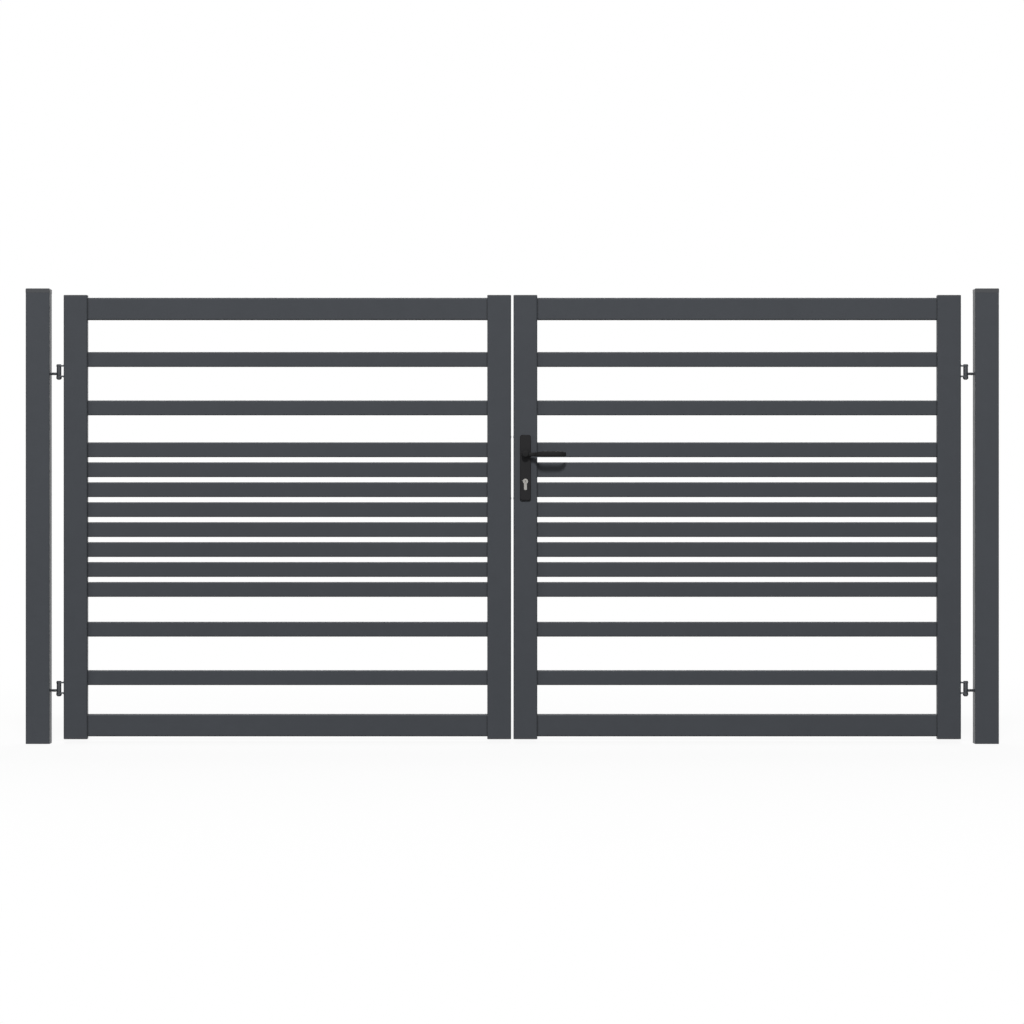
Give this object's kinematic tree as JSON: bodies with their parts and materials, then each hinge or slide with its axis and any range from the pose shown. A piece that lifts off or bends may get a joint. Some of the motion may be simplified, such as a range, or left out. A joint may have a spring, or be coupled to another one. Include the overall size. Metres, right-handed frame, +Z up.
{
  "type": "double swing gate",
  "caption": "Two-leaf slatted steel driveway gate on square posts, with eye-bolt hinges, a lever on a long plate and a profile cylinder.",
  "frame": {"origin": "middle of the left post's foot, at ground level", "axes": "+X along the gate to the right post, +Y to the back, +Z up"},
  "size_m": [3.261, 0.1616, 1.526],
  "materials": {
    "anthracite_coat": "satin",
    "black_coat": "satin",
    "black_plastic": "matte",
    "zinc_steel": "satin",
    "nickel": "satin"
  },
  "bodies": {
    "posts": {"left_post": "anthracite_coat", "left_post_cap": "black_plastic", "left_hinge_eyes": "anthracite_coat", "right_post": "anthracite_coat", "right_post_cap": "black_plastic", "right_hinge_eyes": "anthracite_coat"},
    "left_leaf": {"left_hinge_stile": "anthracite_coat", "left_meeting_stile": "anthracite_coat", "left_top_rail": "anthracite_coat", "left_bottom_rail": "anthracite_coat", "left_top_slat": "anthracite_coat", "left_upper_slat": "anthracite_coat", "left_middle_slats": "anthracite_coat", "left_lower_slat": "anthracite_coat", "left_bottom_slat": "anthracite_coat", "left_stile_caps": "black_plastic", "left_hinge_lugs": "anthracite_coat", "left_hinge_pins": "anthracite_coat", "left_hinge_nuts": "anthracite_coat", "strike_plate": "zinc_steel"},
    "right_leaf": {"right_hinge_stile": "anthracite_coat", "right_meeting_stile": "anthracite_coat", "right_top_rail": "anthracite_coat", "right_bottom_rail": "anthracite_coat", "right_top_slat": "anthracite_coat", "right_upper_slat": "anthracite_coat", "right_middle_slats": "anthracite_coat", "right_lower_slat": "anthracite_coat", "right_bottom_slat": "anthracite_coat", "right_stile_caps": "black_plastic", "right_hinge_lugs": "anthracite_coat", "right_hinge_pins": "anthracite_coat", "right_hinge_nuts": "anthracite_coat", "lock_front": "zinc_steel", "lock_latch": "zinc_steel", "lock_dead_bolt": "zinc_steel", "lock_cylinder": "nickel", "front_handle_plate": "black_coat", "rear_handle_plate": "black_coat"},
    "handle": {"front_lever": "black_coat", "rear_lever": "black_coat", "lever_spindle": "zinc_steel"}
  },
  "joints": [
    {"name": "left_leaf_swing", "type": "hinge", "parent": "posts", "child": "left_leaf", "pos_m": [0.068, 0, 0], "axis": [0, 0, 1], "range_deg": [-90, 90]},
    {"name": "right_leaf_swing", "type": "hinge", "parent": "posts", "child": "right_leaf", "pos_m": [3.112, 0, 0], "axis": [0, 0, -1], "range_deg": [-90, 90]},
    {"name": "lever_turn", "type": "hinge", "parent": "right_leaf", "child": "handle", "pos_m": [1.634, 0, 0.972], "axis": [0, 1, 0], "range_deg": [0, 40], "stiffness_Nm_per_rad": 2.5, "springref_deg": -22.92}
  ]
}
